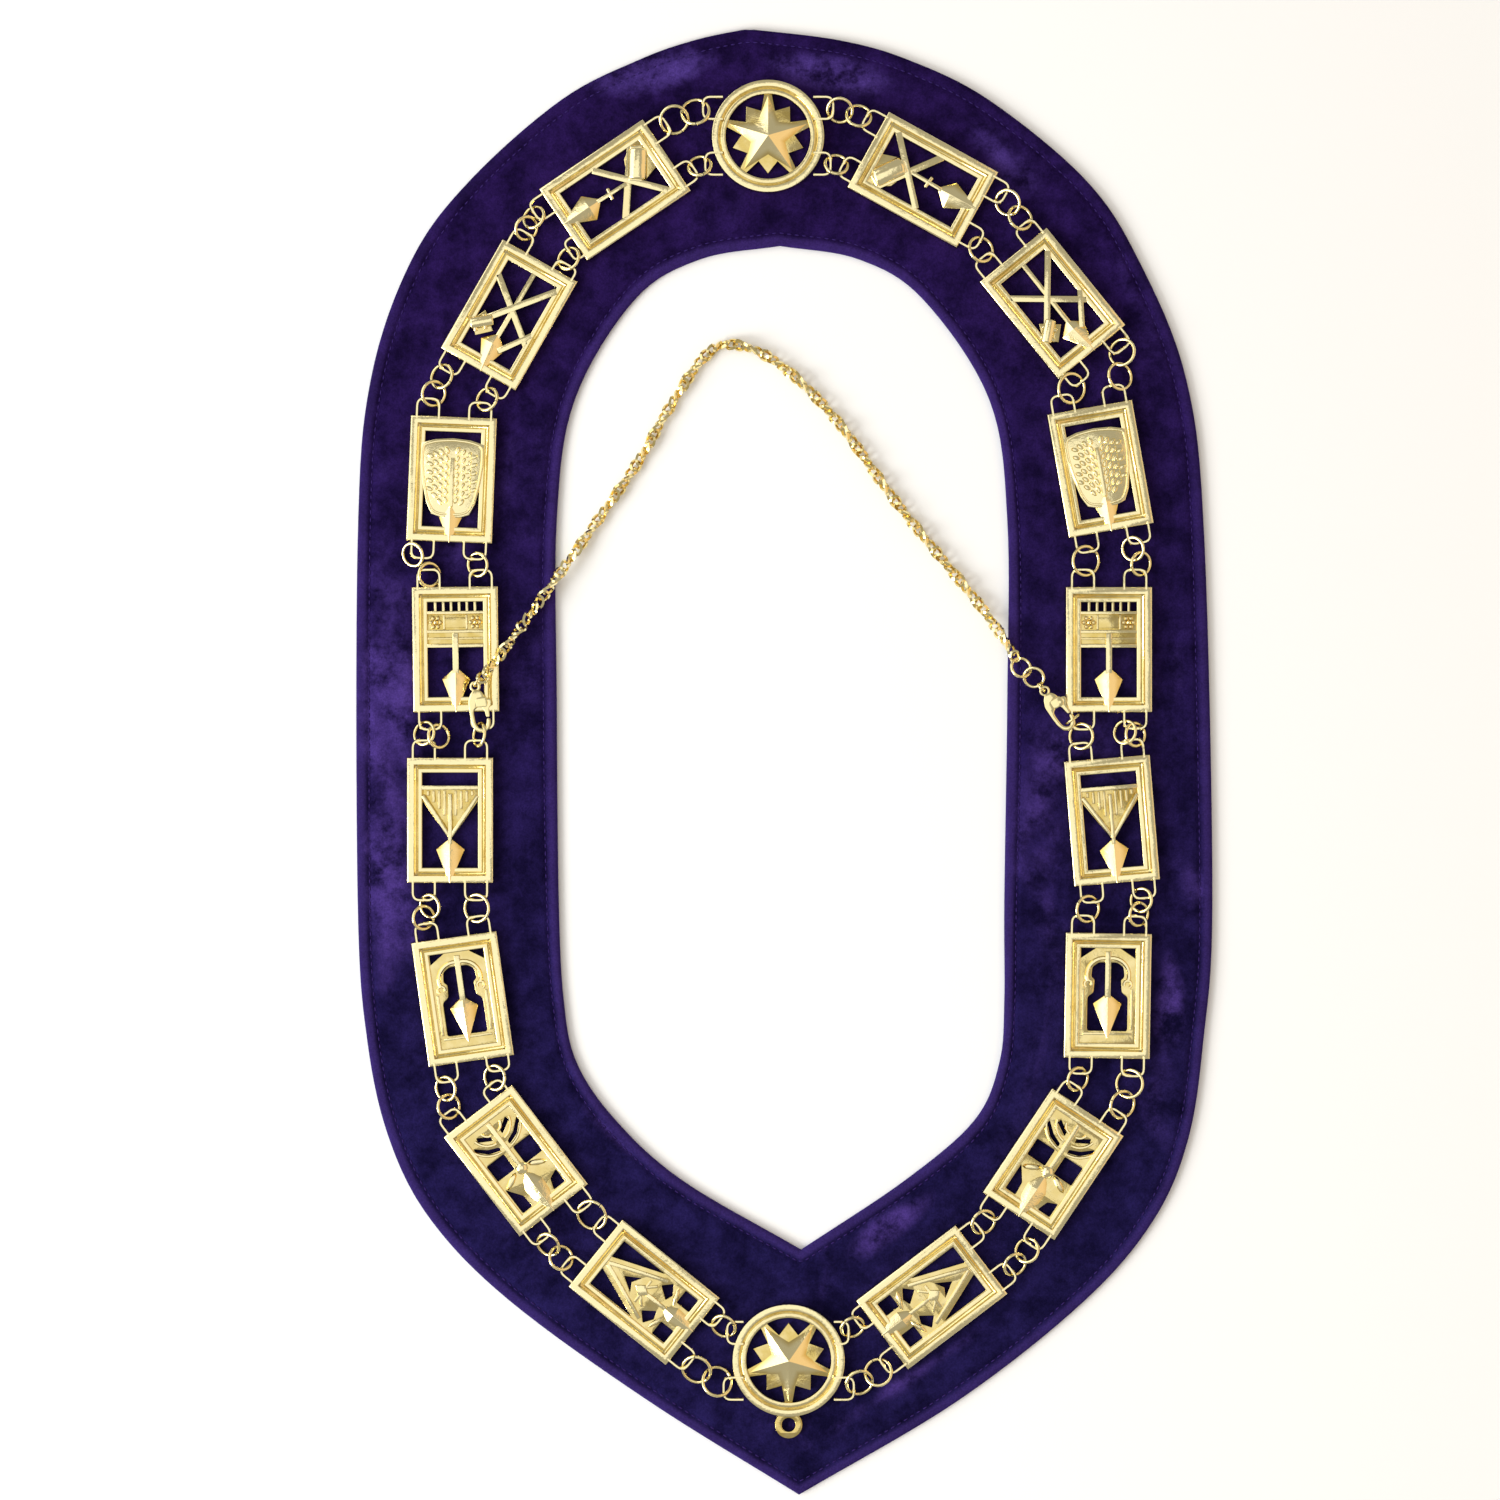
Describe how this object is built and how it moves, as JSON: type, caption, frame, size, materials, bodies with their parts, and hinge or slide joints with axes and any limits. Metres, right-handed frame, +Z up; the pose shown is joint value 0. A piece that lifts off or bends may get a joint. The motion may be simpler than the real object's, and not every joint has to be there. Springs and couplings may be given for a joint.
{
  "type": "chain of office",
  "caption": "Ceremonial chain collar of pierced gilt plaques and star medallions joined by jump rings on a velvet band, with a clasped safety chain.",
  "frame": {"origin": "centre of the collar's outline, on the surface that it lies on", "axes": "+Z up from the velvet's back to the faces of the plates, +Y towards the nape of the neck, +X to the right as seen from above"},
  "size_m": [0.3422, 0.5852, 0.0123],
  "materials": {
    "velvet": "matt cut pile",
    "gilt_plates": "polished gilt, darker in the recesses",
    "gilt_wire": "polished gilt wire"
  },
  "bodies": {
    "collar": {"velvet_band": "velvet", "medallion_nape": "gilt_plates", "plaque_left_1": "gilt_plates", "plaque_left_2": "gilt_plates", "plaque_left_3": "gilt_plates", "plaque_left_4": "gilt_plates", "plaque_left_5": "gilt_plates", "plaque_left_6": "gilt_plates", "plaque_left_7": "gilt_plates", "plaque_left_8": "gilt_plates", "medallion_point": "gilt_plates", "plaque_right_8": "gilt_plates", "plaque_right_7": "gilt_plates", "plaque_right_6": "gilt_plates", "plaque_right_5": "gilt_plates", "plaque_right_4": "gilt_plates", "plaque_right_3": "gilt_plates", "plaque_right_2": "gilt_plates", "plaque_right_1": "gilt_plates", "rings_outer_after_medallion_nape": "gilt_wire", "rings_inner_after_medallion_nape": "gilt_wire", "rings_outer_after_plaque_left_1": "gilt_wire", "rings_inner_after_plaque_left_1": "gilt_wire", "rings_outer_after_plaque_left_2": "gilt_wire", "rings_inner_after_plaque_left_2": "gilt_wire", "rings_outer_after_plaque_left_3": "gilt_wire", "rings_inner_after_plaque_left_3": "gilt_wire", "rings_outer_after_plaque_left_4": "gilt_wire", "rings_inner_after_plaque_left_4": "gilt_wire", "rings_outer_after_plaque_left_5": "gilt_wire", "rings_inner_after_plaque_left_5": "gilt_wire", "rings_outer_after_plaque_left_6": "gilt_wire", "rings_inner_after_plaque_left_6": "gilt_wire", "rings_outer_after_plaque_left_7": "gilt_wire", "rings_inner_after_plaque_left_7": "gilt_wire", "rings_outer_after_plaque_left_8": "gilt_wire", "rings_inner_after_plaque_left_8": "gilt_wire", "rings_outer_after_medallion_point": "gilt_wire", "rings_inner_after_medallion_point": "gilt_wire", "rings_outer_after_plaque_right_8": "gilt_wire", "rings_inner_after_plaque_right_8": "gilt_wire", "rings_outer_after_plaque_right_7": "gilt_wire", "rings_inner_after_plaque_right_7": "gilt_wire", "rings_outer_after_plaque_right_6": "gilt_wire", "rings_inner_after_plaque_right_6": "gilt_wire", "rings_outer_after_plaque_right_5": "gilt_wire", "rings_inner_after_plaque_right_5": "gilt_wire", "rings_outer_after_plaque_right_4": "gilt_wire", "rings_inner_after_plaque_right_4": "gilt_wire", "rings_outer_after_plaque_right_3": "gilt_wire", "rings_inner_after_plaque_right_3": "gilt_wire", "rings_outer_after_plaque_right_2": "gilt_wire", "rings_inner_after_plaque_right_2": "gilt_wire", "rings_outer_after_plaque_right_1": "gilt_wire", "rings_inner_after_plaque_right_1": "gilt_wire", "safety_chain": "gilt_wire", "clasp_left": "gilt_wire", "clasp_right": "gilt_wire"},
    "lever_left": {"clasp_lever_left": "gilt_wire"},
    "lever_right": {"clasp_lever_right": "gilt_wire"}
  },
  "joints": [
    {"name": "lever_left_pivot", "type": "hinge", "parent": "collar", "child": "lever_left", "pos_m": [-0.11945, 0.02372, 0.0085], "axis": [0, 0, 1], "range_deg": [-25, 0], "stiffness_Nm_per_rad": 0.002, "springref_deg": 11.46},
    {"name": "lever_right_pivot", "type": "hinge", "parent": "collar", "child": "lever_right", "pos_m": [0.10947, 0.02403, 0.0085], "axis": [0, 0, 1], "range_deg": [-25, 0], "stiffness_Nm_per_rad": 0.002, "springref_deg": 11.46}
  ]
}
